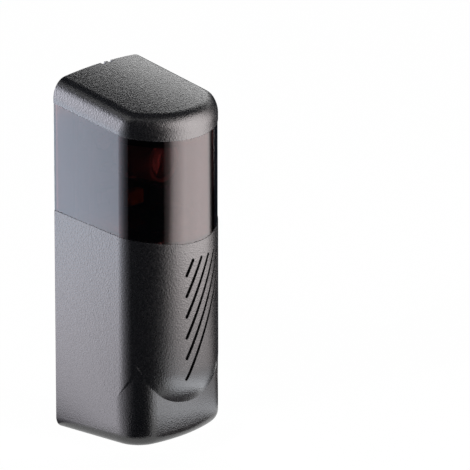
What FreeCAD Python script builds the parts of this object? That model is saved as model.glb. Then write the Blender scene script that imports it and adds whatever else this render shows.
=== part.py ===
import FreeCAD, Part
import math
import os
import re

import Sketcher

doc = FreeCAD.newDocument("gate_photocell")
sheet = doc.addObject("Spreadsheet::Sheet", "Sizes")

# Driving sizes in mm. Heights run up from the bottom and depths run forward from the wall plane.
DRIVING = {
    # Outer form
    "body_width": 40,
    "body_height": 107,
    "body_depth": 38,
    "front_ease": 3.3,
    "corner_round": 6.2,
    "apron_setback": 3.25,
    "apron_radius": 49.5,
    "apron_corner": 9.8,
    "apron_arch": 19.2,
    "apron_arch_height": 32.1,
    "chin_radius": 19.2,
    "chin_top": 22.15,
    "chin_low": 9.5,
    "foot_round": 3.6,
    "least_round": 0.4,
    "roof_drop": 8.2,
    "crown_radius": 180,
    "shoulder_round": 5.5,
    "cover_wall": 2.2,
    # Joints between the lower cover, the window and the cap
    "cap_rear_height": 7.65,
    "cap_seam_drop": 7.3,
    "window_rear_height": 32.35,
    "window_seam_drop": 2.9,
    "window_seam_dip": 3.6,
    "window_seam_bend": 24,
    "window_setback": 0.15,
    "seam_reach": 5,
    "lip_bite": 0.35,
    "lip_fit": 0.1,
    "lip_wall": 1.05,
    "lip_height": 2.5,
    "lip_root": 3,
    "lip_start": 9,
    # Grooves on the belly
    "groove_count": 6,
    "groove_width": 1.05,
    "groove_cut": 0.9,
    "groove_angle": 60.6,
    "groove_pitch": 6.32,
    "groove_left": 4.7,
    "groove_low": 19.6,
    "groove_top": 55.4,
    # Notches in the cap's rear edge, and the base's tongues that stand in them
    "notch_width": 1.5,
    "notch_cut": 1.2,
    "notch_first": 1.2,
    "notch_pitch": 2.85,
    "tongue_set": 0.5,
    "tongue_root": 1.2,
    # Rear base and its gasket
    "base_fit": 0.25,
    "base_plate": 2.5,
    "rim_wall": 2,
    "rim_height": 8,
    "gasket_from": 4,
    "gasket_width": 2.5,
    "gasket_cut": 0.9,
    # Wall fixings
    "fixing_hole": 4.4,
    "fixing_low": 17.5,
    "fixing_below_top": 9.5,
    "fixing_boss": 10,
    "fixing_boss_height": 1,
    # Cable inlet and grommet
    "inlet_below_board": 6.5,
    "inlet_hole": 12,
    "inlet_boss": 19,
    "inlet_boss_height": 1.7,
    "inlet_recess": 15.4,
    "inlet_recess_cut": 1.4,
    "grommet_fit": 0.1,
    "grommet_lip": 1.2,
    "cable_hole": 6.5,
    # Foot of the base and the cover screw
    "foot_width": 9,
    "foot_height": 7,
    "foot_overhang": 4.5,
    "screw_depth": 13.5,
    "screw_shank": 3,
    "screw_length": 9,
    "screw_head": 5.8,
    "screw_head_recess": 0.4,
    "screw_fit": 0.2,
    "thread_fit": 0.05,
    "screw_seat": 2.4,
    "screw_boss_floor": 2.4,
    "screw_boss_wall": 2,
    # Circuit board, its pillars and screws
    "board_side_gap": 1.8,
    "board_below_top": 14.5,
    "board_height": 54,
    "board_thick": 1.6,
    "pillar_height": 10.5,
    "pillar_width": 5.6,
    "pillar_edge": 3.6,
    "board_screw": 2.5,
    "board_screw_length": 8,
    "board_screw_head": 4.6,
    "board_screw_head_height": 1.8,
    "slot_width": 0.7,
    "slot_cut": 0.8,
    "cross_reach": 1.7,
    "screw_chamfer": 0.5,
    "screw_tip": 0.8,
    "pilot_spare": 0.5,
    # Lens, its holder and the photodiode
    "lens_below_board_top": 10,
    "lens_width": 10.6,
    "lens_edge": 1.6,
    "lens_bulge": 2.2,
    "lens_fit": 0.1,
    "lens_seat": 2,
    "holder_length": 12.5,
    "holder_wall": 1.1,
    "holder_flange": 15,
    "holder_flange_thick": 1.5,
    "holder_bore_rear": 7,
    "holder_bore_front": 9.4,
    "diode_width": 4.4,
    "diode_thick": 1.6,
    "diode_dome": 3,
    "diode_dome_rise": 0.8,
    # Terminal block
    "terminal_count": 5,
    "terminal_gap": 1.15,
    "terminal_end": 0.2,
    "terminal_wall_share": 0.2,
    "terminal_tall": 7.8,
    "terminal_deep": 9,
    "terminal_round": 0.6,
    "cage_deep": 3.6,
    "cage_tall": 4.6,
    "cage_wall_share": 0.143,
    "cage_from_board": 1.4,
    "cage_fit": 0.05,
    "clamp_screw_head_height": 1.4,
    "clamp_head_share": 0.857,
    "clamp_shank_share": 0.536,
    "clamp_screw_fit": 0.1,
    # Parts on the board, in three columns whose gaps share the height left over
    "relay_edge": 1.3,
    "relay_width": 9,
    "relay_tall": 15.5,
    "relay_deep": 11.4,
    "relay_round": 0.6,
    "regulator_edge": 1.8,
    "regulator_width": 6.5,
    "regulator_tall": 3.5,
    "regulator_deep": 1.8,
    "regulator_tab": 3.2,
    "regulator_reach": 1.6,
    "regulator_leg": 0.8,
    "regulator_leg_pitch": 2.3,
    "led_edge": 2.6,
    "led_width": 3,
    "led_flange": 3.8,
    "led_flange_thick": 1,
    "led_deep": 5.3,
    "led_round": 1.35,
    "can_edge": 1.4,
    "large_can_width": 8,
    "large_can_deep": 11.5,
    "small_can_width": 6.3,
    "small_can_deep": 11,
    "can_crimp": 0.35,
    "chip_edge": 1.6,
    "chip_width": 3.9,
    "chip_tall": 8.7,
    "chip_deep": 1.5,
    "chip_stand": 0.2,
    "chip_span": 6,
    "chip_leg": 0.4,
    "chip_leg_thick": 0.2,
    "chip_leg_rise": 0.95,
    "chip_leg_pitch": 1.27,
    "chip_leg_count": 7,
    "varistor_x": 0.5,
    "varistor_disc": 7.5,
    "varistor_thick": 3.2,
    "varistor_stand": 0.8,
    "varistor_leg": 0.7,
    "varistor_leg_pitch": 5,
    "rectifier_count": 4,
    "rectifier_pitch": 2.3,
    "rectifier_width": 1.8,
    "rectifier_tall": 2.8,
    "rectifier_deep": 1.2,
    "rectifier_tab": 1,
    "rectifier_reach": 0.4,
    "tab_thick": 0.4,
    "tantalum_x": -1.3,
    "tantalum_width": 7.3,
    "tantalum_tall": 4.3,
    "tantalum_deep": 2.9,
    "tantalum_round": 0.3,
    "jumper_gap": 0.5,
    "jumper_pitch": 2.54,
    "jumper_header_deep": 2.5,
    "jumper_pin": 0.64,
    "jumper_pin_reach": 5.2,
    "jumper_cap_deep": 6,
    "jumper_cap_ease": 0.1,
}

# Sizes that follow from the driving ones
DERIVED = {
    "half_width": "body_width / 2",
    "rear": "body_depth / 2",
    "front_radius": "half_width + front_ease",
    "front_axis": "rear - body_depth + front_radius",
    "apron_axis": "rear - body_depth + apron_setback + apron_radius",
    "roof_fall": "roof_drop / body_depth",
    "roof_stretch": "sqrt(1 + roof_fall ^ 2)",
    "roof_ridge": "(body_height - roof_fall * rear) / roof_stretch",
    "crown_drop": "roof_stretch * half_width ^ 2 / (2 * crown_radius)",
    "inner_shoulder": "max(shoulder_round - cover_wall; least_round)",
    "inner_foot_round": "max(foot_round - cover_wall; least_round)",
    "cap_seam_rear": "body_height - cap_rear_height",
    "cap_seam_front": "cap_seam_rear - cap_seam_drop",
    "window_seam_rear": "cap_seam_rear - window_rear_height",
    "window_seam_mid": "window_seam_rear - window_seam_drop",
    "window_seam_slope": "window_seam_drop / window_seam_bend",
    "window_seam_run": "body_depth - window_seam_bend",
    "window_seam_bow": "(window_seam_dip - window_seam_slope * window_seam_run) / window_seam_run ^ 2",
    "window_seam_past": "window_seam_run + seam_reach",
    "window_seam_fall": "window_seam_slope + window_seam_bow * window_seam_past",
    "window_seam_end": "window_seam_mid - window_seam_past * window_seam_fall",
    "lip_outer": "cover_wall - lip_bite",
    "lip_inner": "lip_outer + lip_wall",
    "window_inner": "lip_outer - lip_fit",
    "base_half_width": "half_width - cover_wall - base_fit",
    "base_low": "cover_wall + base_fit",
    "base_clear_top": "body_height - crown_drop - roof_stretch * cover_wall - base_fit",
    "plate_top": "base_clear_top - roof_fall * base_plate",
    "rim_top": "base_clear_top - roof_fall * rim_height",
    "fixing_high": "body_height - fixing_below_top",
    "board_half_width": "half_width - cover_wall - board_side_gap",
    "board_top": "body_height - board_below_top",
    "board_low": "board_top - board_height",
    "board_face": "pillar_height + board_thick",
    "pillar_x": "board_half_width - pillar_edge",
    "pillar_low": "board_low + pillar_edge",
    "pillar_high": "board_top - pillar_edge",
    "inlet_height": "board_low - inlet_below_board",
    "inlet_face": "base_plate + inlet_boss_height",
    "foot_low": "screw_seat + screw_boss_floor",
    "lens_height": "board_top - lens_below_board_top",
    "holder_front": "board_face + holder_length",
    "lens_rear": "holder_front - lens_seat",
    "holder_width": "lens_width + 2 * lens_fit + 2 * holder_wall",
    "terminal_half": "pillar_x - board_screw_head / 2 - terminal_gap",
    "terminal_pitch": "2 * (terminal_half - terminal_end) / terminal_count",
    "terminal_wall": "terminal_wall_share * terminal_pitch",
    "cage_width": "terminal_pitch - terminal_wall",
    "cage_wall": "cage_wall_share * terminal_pitch",
    "clamp_screw_head": "clamp_head_share * cage_width",
    "clamp_screw_shank": "clamp_shank_share * cage_width",
    "terminal_first": "-(terminal_count - 1) * terminal_pitch / 2",
    "terminal_face": "board_face + terminal_deep",
    "cage_rear": "board_face + cage_from_board",
    "cage_low": "board_low + (terminal_tall - cage_tall) / 2",
    "cage_mid": "cage_low + cage_tall / 2",
    "screw_band": "pillar_edge + board_screw_head / 2",
    "regulator_span": "regulator_tall + 2 * regulator_reach",
    "left_filled": "terminal_tall + relay_tall + regulator_span + led_flange + screw_band",
    "left_gap": "(board_height - left_filled) / 4",
    "relay_x": "relay_edge + relay_width / 2 - board_half_width",
    "relay_up": "terminal_tall + left_gap + relay_tall / 2",
    "regulator_x": "regulator_edge + regulator_width / 2 - board_half_width",
    "regulator_up": "relay_up + relay_tall / 2 + left_gap + regulator_span / 2",
    "power_led_up": "regulator_up + regulator_span / 2 + left_gap + led_flange / 2",
    "can_filled": "large_can_width + small_can_width",
    "right_filled": "terminal_tall + can_filled + chip_tall + led_flange + screw_band",
    "right_gap": "(board_height - right_filled) / 5",
    "large_can_x": "board_half_width - can_edge - large_can_width / 2",
    "large_can_up": "terminal_tall + right_gap + large_can_width / 2",
    "small_can_x": "large_can_x",
    "small_can_up": "large_can_up + can_filled / 2 + right_gap",
    "chip_x": "board_half_width - chip_edge - chip_span / 2",
    "chip_up": "small_can_up + small_can_width / 2 + right_gap + chip_tall / 2",
    "led_x": "board_half_width - led_edge - led_flange / 2",
    "status_led_up": "chip_up + chip_tall / 2 + right_gap + led_flange / 2",
    "rectifier_span": "rectifier_tall + 2 * rectifier_reach",
    "holder_band": "lens_below_board_top + holder_flange / 2",
    "middle_filled": "terminal_tall + varistor_disc + rectifier_span + tantalum_tall + holder_band",
    "middle_gap": "(board_height - middle_filled) / 4",
    "varistor_up": "terminal_tall + middle_gap + varistor_disc / 2",
    "rectifier_x": "(relay_x + relay_width / 2 + small_can_x - small_can_width / 2) / 2",
    "rectifier_up": "varistor_up + varistor_disc / 2 + middle_gap + rectifier_span / 2",
    "tantalum_up": "rectifier_up + rectifier_span / 2 + middle_gap + tantalum_tall / 2",
    "jumper_x": "chip_x - chip_span / 2 - jumper_gap - jumper_pitch / 2",
    "jumper_up": "tantalum_up",
}

FORMULAS = {**DRIVING, **{alias: "=" + text for alias, text in DERIVED.items()}}
for row, (alias, content) in enumerate(FORMULAS.items(), start=1):
    sheet.set(f"A{row}", alias)
    sheet.set(f"B{row}", str(content))
    sheet.setAlias(f"B{row}", alias)
doc.recompute()

WORD = re.compile(r"[a-z][a-z_]*")
NODES = {}


def bind(text):
    """The expression that names the sheet for each size in the text."""

    def named(match):
        word = match.group()
        return "Sizes." + word if word in FORMULAS else word

    return WORD.sub(named, text)


def size(text):
    return float(sheet.evalExpression(bind(text)))


def drive(thing, prop, text):
    thing.setExpression(prop, bind(text))


def depth(text):
    """The Y coordinate at a depth in front of the wall plane."""
    return f"rear - ({text})"


def point(x, y):
    return FreeCAD.Vector(size(x), size(y), 0)


class Outline:
    """A sketch on one of a body's origin planes, with each dimension bound to the sheet."""

    def __init__(self, body, plane, offset="0"):
        self.sketch = body.newObject("Sketcher::SketchObject", body.Name + "_outline")
        planes = {f.Role: f for f in body.Origin.OriginFeatures}
        self.sketch.AttachmentSupport = [(planes[plane + "_Plane"], "")]
        self.sketch.MapMode = "FlatFace"
        drive(self.sketch, "AttachmentOffset.Base.z", offset)

    def add(self, curve, construction=False):
        return self.sketch.addGeometry(curve, construction)

    def rule(self, *terms):
        return self.sketch.addConstraint(Sketcher.Constraint(*terms))

    def measure(self, text, *terms):
        index = self.rule(*terms, size(text))
        drive(self.sketch, f"Constraints[{index}]", text)

    def pin_x(self, curve, end, x):
        if x == "0":
            self.rule("PointOnObject", curve, end, -2)
        else:
            self.measure(x, "DistanceX", -1, 1, curve, end)

    def pin_y(self, curve, end, y):
        if y == "0":
            self.rule("PointOnObject", curve, end, -1)
        else:
            self.measure(y, "DistanceY", -1, 1, curve, end)

    def pin(self, curve, end, x, y):
        self.pin_x(curve, end, x)
        self.pin_y(curve, end, y)

    def polygon(self, corners):
        pairs = zip(corners, corners[1:] + corners[:1])
        lines = [self.add(Part.LineSegment(point(*a), point(*b))) for a, b in pairs]
        for line, following in zip(lines, lines[1:] + lines[:1]):
            self.rule("Coincident", line, 2, following, 1)
        for line, corner in zip(lines, corners):
            self.pin(line, 1, *corner)
        return self

    def rectangle(self, left, low, right, high):
        return self.polygon([(left, low), (right, low), (right, high), (left, high)])

    def circle(self, x, y, width):
        radius = size(width) / 2
        curve = self.add(Part.Circle(point(x, y), FreeCAD.Vector(0, 0, 1), radius))
        self.measure(width, "Diameter", curve)
        self.pin(curve, 3, x, y)
        return self

    def arc(self, centre, radius, start, end):
        circle = Part.Circle(FreeCAD.Vector(*centre, 0), FreeCAD.Vector(0, 0, 1), radius)
        return self.add(Part.ArcOfCircle(circle, start, end))

    def axis(self, start, end):
        line = self.add(Part.LineSegment(point(*start), point(*end)), True)
        self.pin(line, 1, *start)
        self.pin(line, 2, *end)
        return line

    def join(self, first, first_end, second, second_end):
        ends = (self.sketch.getPoint(first, first_end), self.sketch.getPoint(second, second_end))
        line = self.add(Part.LineSegment(*ends))
        self.rule("Coincident", first, first_end, line, 1)
        self.rule("Coincident", line, 2, second, second_end)

    def bow(self, half, radius, corner, axis, rear):
        """Straight sides, rounded corners and a bowed front; returns the two side lines."""
        w, big, small, middle, back = (size(t) for t in (half, radius, corner, axis, rear))
        side = middle - math.sqrt((big - small) ** 2 - (w - small) ** 2)
        turn = math.atan2(side - middle, small - w) + 2 * math.pi
        left = self.add(Part.LineSegment(FreeCAD.Vector(-w, back, 0), FreeCAD.Vector(-w, side, 0)))
        first = self.arc((small - w, side), small, math.pi, turn)
        front = self.arc((0, middle), big, turn, 3 * math.pi - turn)
        second = self.arc((w - small, side), small, 3 * math.pi - turn, 2 * math.pi)
        right = self.add(Part.LineSegment(FreeCAD.Vector(w, side, 0), FreeCAD.Vector(w, back, 0)))
        chain = [left, first, front, second, right]
        for here, there in zip(chain, chain[1:]):
            self.rule("Tangent", here, 2, there, 1)
        self.rule("Vertical", left)
        self.rule("Vertical", right)
        self.rule("Symmetric", left, 1, right, 2, -2)
        self.rule("Equal", first, second)
        self.rule("PointOnObject", front, 3, -2)
        self.measure(corner, "Radius", first)
        self.measure(radius, "Radius", front)
        self.measure(axis, "DistanceY", -1, 1, front, 3)
        self.measure(half, "DistanceX", left, 1, -1, 1)
        self.measure(rear, "DistanceY", -1, 1, left, 1)
        return left, right

    def belly(self, inset, rear):
        half, radius, corner = (f"{t} - ({inset})" for t in ("half_width", "front_radius", "corner_round"))
        return self.bow(half, radius, corner, "front_axis", rear)

    def belly_plan(self, inset, rear):
        left, right = self.belly(inset, rear)
        self.join(right, 2, left, 1)
        return self

    def belly_ring(self, outer, inner, rear):
        left, right = self.belly(outer, rear)
        left_in, right_in = self.belly(inner, rear)
        self.join(right, 2, right_in, 2)
        self.join(left_in, 1, left, 1)
        return self

    def apron_plan(self, inset, rear):
        half, radius, corner = (f"{t} - ({inset})" for t in ("half_width", "apron_radius", "apron_corner"))
        left, right = self.bow(half, radius, corner, "apron_axis", rear)
        self.join(right, 2, left, 1)
        return self

    def round_rectangle(self, half, low, high, corner):
        w, z0, z1, r = (size(t) for t in (half, low, high, corner))
        spots = [(w - r, z0 + r), (w - r, z1 - r), (r - w, z1 - r), (r - w, z0 + r)]
        arcs = [self.arc(s, r, (n - 1) * math.pi / 2, n * math.pi / 2) for n, s in enumerate(spots)]
        lines = []
        for here, there in zip(arcs, arcs[1:] + arcs[:1]):
            ends = (self.sketch.getPoint(here, 2), self.sketch.getPoint(there, 1))
            line = self.add(Part.LineSegment(*ends))
            self.rule("Tangent", here, 2, line, 1)
            self.rule("Tangent", line, 2, there, 1)
            lines.append(line)
        for arc in arcs[1:]:
            self.rule("Equal", arcs[0], arc)
        for line in lines[0::2]:
            self.rule("Vertical", line)
        for line in lines[1::2]:
            self.rule("Horizontal", line)
        self.measure(corner, "Radius", arcs[0])
        self.measure(half, "DistanceX", -1, 1, lines[0], 1)
        self.measure(half, "DistanceX", lines[2], 1, -1, 1)
        self.measure(high, "DistanceY", -1, 1, lines[1], 1)
        self.measure(low, "DistanceY", -1, 1, lines[3], 1)
        return self

    def groove(self, left, low, high, width, angle):
        """A slanted round-ended slot from a pinned lower end up to a height."""
        r, tilt = size(width) / 2, math.radians(size(angle))
        x0, z0, z1 = size(left), size(low), size(high)
        x1 = x0 + (z1 - z0) / math.tan(tilt)
        foot = self.arc((x0, z0), r, tilt + math.pi / 2, tilt + 3 * math.pi / 2)
        head = self.arc((x1, z1), r, tilt - math.pi / 2, tilt + math.pi / 2)
        sides = []
        for here, there in ((foot, head), (head, foot)):
            ends = (self.sketch.getPoint(here, 2), self.sketch.getPoint(there, 1))
            side = self.add(Part.LineSegment(*ends))
            self.rule("Tangent", here, 2, side, 1)
            self.rule("Tangent", side, 2, there, 1)
            sides.append(side)
        self.rule("Equal", foot, head)
        self.measure(f"{width} / 2", "Radius", foot)
        self.pin(foot, 3, left, low)
        self.pin_y(head, 3, high)
        self.measure(f"{angle} * 1 deg", "Angle", sides[0])


def new_body(name):
    body = doc.addObject("PartDesign::Body", name)
    body.AllowCompound = True
    return body


def front_outline(body, at="0"):
    """A sketch that faces the front, at a depth in front of the wall plane."""
    return Outline(body, "XZ", f"{at} - rear")


def pad(body, outline, length):
    feature = body.newObject("PartDesign::Pad", body.Name + "_pad")
    feature.Profile = outline.sketch
    drive(feature, "Length", length)
    return feature


def pocket(body, outline, length=None, forward=False):
    """A cut; with no length it runs through everything, on both sides of the sketch."""
    feature = body.newObject("PartDesign::Pocket", body.Name + "_cut")
    feature.Profile = outline.sketch
    if length is None:
        feature.Type = "ThroughAll"
        feature.SideType = "Symmetric"
    else:
        feature.Reversed = forward
        drive(feature, "Length", length)
    return feature


def turn(body, outline, kind="PartDesign::Revolution", angle=360):
    feature = body.newObject(kind, body.Name + "_turned")
    feature.Profile = outline.sketch
    feature.ReferenceAxis = (outline.sketch, ["Axis0"])
    feature.Angle = angle
    feature.Midplane = angle < 360
    return feature


def repeat(body, originals, axis, length, count):
    feature = body.newObject("PartDesign::LinearPattern", body.Name + "_row")
    feature.Originals = originals
    axes = {f.Role: f for f in body.Origin.OriginFeatures}
    feature.Direction = (axes[axis + "_Axis"], [""])
    drive(feature, "Length", length)
    drive(feature, "Occurrences", count)
    body.Tip = feature
    return feature


def round_edges(body, radius, wanted):
    """A fillet on the edges of the body's last feature that the test picks out."""
    doc.recompute()
    last = body.Tip
    names = [f"Edge{n}" for n, edge in enumerate(last.Shape.Edges, start=1) if wanted(edge)]
    feature = body.newObject("PartDesign::Fillet", body.Name + "_round")
    feature.Base = (last, names)
    drive(feature, "Radius", radius)
    return feature


def combine(kind, name, first, others):
    """A boolean of one object with one or more others."""
    if kind == "Cut" and len(others) > 1:
        others = [combine("Fuse", name + "_tools", others[0], others[1:])]
    if kind == "Fuse":
        result = doc.addObject("Part::MultiFuse", name)
        result.Shapes = [first] + others
        return result
    result = doc.addObject("Part::" + kind, name)
    result.Base = first
    result.Tool = others[0]
    return result


def place(thing, x, y, z, turned=None):
    if turned:
        thing.Placement = FreeCAD.Placement(FreeCAD.Vector(), turned)
    for letter, text in zip("xyz", (x, y, z)):
        drive(thing, "Placement.Base." + letter, text)


def block(name, x, z, at, width, tall, deep):
    """A box centred on x and z that rises forward from a depth."""
    thing = doc.addObject("Part::Box", name)
    drive(thing, "Length", width)
    drive(thing, "Width", deep)
    drive(thing, "Height", tall)
    place(thing, f"{x} - ({width}) / 2", depth(f"{at} + {deep}"), f"{z} - ({tall}) / 2")
    return thing


FORWARD = FreeCAD.Rotation(FreeCAD.Vector(1, 0, 0), 90)


def rod(name, x, z, at, width, deep):
    """A cylinder that rises forward from a depth."""
    thing = doc.addObject("Part::Cylinder", name)
    drive(thing, "Radius", f"({width}) / 2")
    drive(thing, "Height", deep)
    place(thing, x, depth(at), z, FORWARD)
    return thing


def post(name, x, at, low, width, tall):
    """An upright cylinder at a depth."""
    thing = doc.addObject("Part::Cylinder", name)
    drive(thing, "Radius", f"({width}) / 2")
    drive(thing, "Height", tall)
    place(thing, x, depth(at), low)
    return thing


def node(label, thing):
    thing.Label = label
    NODES[label] = thing
    return thing


def along(edge, name):
    """The coordinate that an edge keeps, or None where it changes."""
    box = edge.BoundBox
    low, high = getattr(box, name + "Min"), getattr(box, name + "Max")
    return (low + high) / 2 if high - low < 1e-4 else None


def same(value, other):
    return value is not None and abs(value - other) < 1e-4


# Side profiles that part the shells, drawn on the middle plane and reaching past the front and the rear
REACH = "seam_reach"


def window_seam(body, shift, keep_below):
    """Cuts along the joint under the window, straight on the sides and dipping round the front."""
    outline = Outline(body, "YZ")
    far = "2 * body_height" if keep_below else "-20"
    back, bend, front = f"rear + {REACH}", depth("window_seam_bend"), f"rear - body_depth - {REACH}"
    rise = f"window_seam_rear + window_seam_slope * {REACH} + ({shift})"
    middle, dip = f"window_seam_mid + ({shift})", f"window_seam_end + ({shift})"
    a, b, c = point(back, rise), point(bend, middle), point(front, dip)
    side = outline.add(Part.LineSegment(a, b))
    along_side = (b - a).normalize()
    normal = FreeCAD.Vector(along_side.y, -along_side.x, 0)
    radius = (c - b).dot(c - b) / (2 * (c - b).dot(normal))
    centre = b + normal * radius
    angles = [math.atan2((p - centre).y, (p - centre).x) for p in (b, c)]
    near, end = (1, 2) if radius < 0 else (2, 1)
    nose = outline.arc((centre.x, centre.y), abs(radius), *(angles if radius < 0 else reversed(angles)))
    outline.rule("Tangent", side, 2, nose, near)
    outline.pin(side, 1, back, rise)
    outline.pin(side, 2, bend, middle)
    outline.pin(nose, end, front, dip)
    upright = outline.add(Part.LineSegment(c, point(front, far)))
    across = outline.add(Part.LineSegment(point(front, far), point(back, far)))
    outline.rule("Coincident", nose, end, upright, 1)
    outline.rule("Coincident", upright, 2, across, 1)
    outline.pin(across, 1, front, far)
    outline.pin(across, 2, back, far)
    outline.join(across, 2, side, 1)
    return pocket(body, outline)


def cap_seam(body, shift, keep_below):
    """Cuts along the straight sloping joint over the window."""
    outline = Outline(body, "YZ")
    far = "2 * body_height" if keep_below else "-20"
    slope = "cap_seam_drop / body_depth"
    back, front = f"rear + {REACH}", f"rear - body_depth - {REACH}"
    z0 = f"cap_seam_rear + {slope} * {REACH} + ({shift})"
    z1 = f"cap_seam_front - {slope} * {REACH} + ({shift})"
    outline.polygon([(back, z0), (front, z1), (front, far), (back, far)])
    return pocket(body, outline)


def roof(body, lower):
    """Cuts along the crowned roof, a cylinder that falls to the front, lowered by a wall."""
    outline = Outline(body, "XZ")
    outline.sketch.AttachmentOffset.Rotation = FreeCAD.Rotation(FreeCAD.Vector(1, 0, 0), 10)
    drive(outline.sketch, "AttachmentOffset.Rotation.Angle", "atan(roof_fall)")
    half, far, centre = "half_width + 5", "2 * body_height", f"roof_ridge - ({lower}) - crown_radius"
    w, r, high, middle = size(half), size("crown_radius"), size(far), size(centre)
    lean = math.asin(w / r)
    crown = outline.arc((0, middle), r, math.pi / 2 - lean, math.pi / 2 + lean)
    left, right = outline.sketch.getPoint(crown, 2), outline.sketch.getPoint(crown, 1)
    up = outline.add(Part.LineSegment(left, FreeCAD.Vector(-w, high, 0)))
    across = outline.add(Part.LineSegment(FreeCAD.Vector(-w, high, 0), FreeCAD.Vector(w, high, 0)))
    down = outline.add(Part.LineSegment(FreeCAD.Vector(w, high, 0), right))
    outline.rule("Coincident", crown, 2, up, 1)
    outline.rule("Coincident", up, 2, across, 1)
    outline.rule("Coincident", across, 2, down, 1)
    outline.rule("Coincident", down, 2, crown, 1)
    outline.rule("Vertical", up)
    outline.rule("Vertical", down)
    outline.rule("Horizontal", across)
    outline.rule("PointOnObject", crown, 3, -2)
    outline.measure("crown_radius", "Radius", crown)
    outline.measure(centre, "DistanceY", -1, 1, crown, 3)
    outline.measure(half, "DistanceX", -1, 1, across, 2)
    outline.measure(half, "DistanceX", across, 1, -1, 1)
    outline.measure(far, "DistanceY", -1, 1, across, 1)
    feature = pocket(body, outline, "4 * body_depth")
    feature.SideType = "Symmetric"
    return feature


# Lower cover: a bowed belly that curves under, set into a flatter apron
def belly_body(name, inset, rear):
    body = new_body(name)
    pad(body, Outline(body, "XY", "chin_low").belly_plan(inset, rear), "window_seam_rear")
    outline = Outline(body, "YZ")
    axis = outline.axis(("front_axis", "0"), ("front_axis", "body_height"))
    bow, clear = f"front_axis - front_radius + ({inset})", "front_axis - front_radius - 2"
    centre_y = "front_axis - front_radius + chin_radius"
    radius = f"chin_radius - ({inset})"
    r, drop = size(radius), size("chin_top - chin_low")
    lean = math.asin(drop / r)
    chin = outline.arc((size(centre_y), size("chin_top")), r, math.pi, math.pi + lean)
    top, low = outline.sketch.getPoint(chin, 1), outline.sketch.getPoint(chin, 2)
    out = size(clear)
    under = outline.add(Part.LineSegment(low, FreeCAD.Vector(out, low.y, 0)))
    back = outline.add(Part.LineSegment(FreeCAD.Vector(out, low.y, 0), FreeCAD.Vector(out, top.y, 0)))
    over = outline.add(Part.LineSegment(FreeCAD.Vector(out, top.y, 0), top))
    outline.rule("Coincident", chin, 2, under, 1)
    outline.rule("Coincident", under, 2, back, 1)
    outline.rule("Coincident", back, 2, over, 1)
    outline.rule("Coincident", over, 2, chin, 1)
    outline.rule("Horizontal", under)
    outline.rule("Vertical", back)
    outline.rule("Horizontal", over)
    outline.pin(chin, 3, centre_y, "chin_top")
    outline.measure(radius, "Radius", chin)
    outline.measure("chin_low", "DistanceY", -1, 1, chin, 2)
    outline.pin_x(back, 1, clear)
    turn(body, outline, "PartDesign::Groove", 180)
    return body


def apron_body(name, inset, rear, rounding):
    body = new_body(name)
    pad(body, Outline(body, "XY", inset).apron_plan(inset, rear), f"apron_arch_height - ({inset})")
    back = size(rear)
    low = size(inset)
    round_edges(body, rounding, lambda e: same(along(e, "Z"), low) and not same(along(e, "Y"), back))
    pocket(body, Outline(body, "XZ").circle("0", "apron_arch_height", f"2 * (apron_arch + {inset})"))
    return body


belly = belly_body("belly", "0", "rear")
window_seam(belly, "0", True)
cover_form = combine("Fuse", "cover_form", apron_body("apron", "0", "rear", "foot_round"), [belly])
cover_space = combine(
    "Fuse",
    "cover_space",
    apron_body("apron_space", "cover_wall", "rear + 1", "inner_foot_round"),
    [belly_body("belly_space", "cover_wall", "rear + 1")],
)
cover_shell = combine("Cut", "cover_shell", cover_form, [cover_space])


def lip(name, seam, root_below):
    """A ring inside the window's wall, rooted in the shell on one side of the joint."""
    body = new_body(name)
    ring = Outline(body, "XY", "chin_top").belly_ring("lip_outer", "lip_inner", depth("lip_start"))
    pad(body, ring, "body_height")
    seam(body, "lip_height" if root_below else "lip_root", True)
    seam(body, "-lip_root" if root_below else "-lip_height", False)
    return body


cover_lip = lip("cover_lip", window_seam, True)
boss_width = "screw_head + 2 * screw_boss_wall"
screw_boss = post("screw_boss", "0", "screw_depth", "cover_wall / 2", boss_width, "foot_low - cover_wall / 2")
screw_way = post("screw_way", "0", "screw_depth", "-1", "screw_shank + 2 * screw_fit", "foot_low + 2")
screw_well = post("screw_well", "0", "screw_depth", "-1", "screw_head + 2 * screw_fit", "screw_seat + 1")

grooves = new_body("grooves")
slots = Outline(grooves, "XZ")
for n in range(int(size("groove_count"))):
    lower_end = f"groove_low + {n} * groove_pitch"
    slots.groove("-groove_left", lower_end, "groove_top", "groove_width", "groove_angle")
pad(grooves, slots, "body_depth")
skin = new_body("skin")
pad(skin, Outline(skin, "XY", "chin_low").belly_ring("-1", "groove_cut", "0"), "window_seam_rear")
groove_cuts = combine("Common", "groove_cuts", grooves, [skin])

cover_body = combine("Fuse", "cover_body", cover_shell, [cover_lip, screw_boss])
node("lower_cover", combine("Cut", "lower_cover_cut", cover_body, [screw_way, screw_well, groove_cuts]))

# Window: one bowed band between the two joints
window = new_body("window")
band = Outline(window, "XY", "chin_top").belly_ring("window_setback", "window_inner", "rear")
pad(window, band, "body_height")
window_seam(window, "0", False)
cap_seam(window, "0", True)
node("smoked_window", window)


# Top cap: bowed sides under a crowned, sloping roof with round shoulders
def cap_body(name, inset, rear, rounding):
    body = new_body(name)
    pad(body, Outline(body, "XY", "window_seam_rear").belly_plan(inset, rear), "body_height")
    roof(body, inset)
    back = size(rear)
    low = size("window_seam_rear")

    def on_roof(edge):
        rising = abs(edge.tangentAt(edge.FirstParameter).z) > 0.9
        return not (rising or same(along(edge, "Y"), back) or same(along(edge, "Z"), low))

    round_edges(body, rounding, on_roof)
    return body


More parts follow.
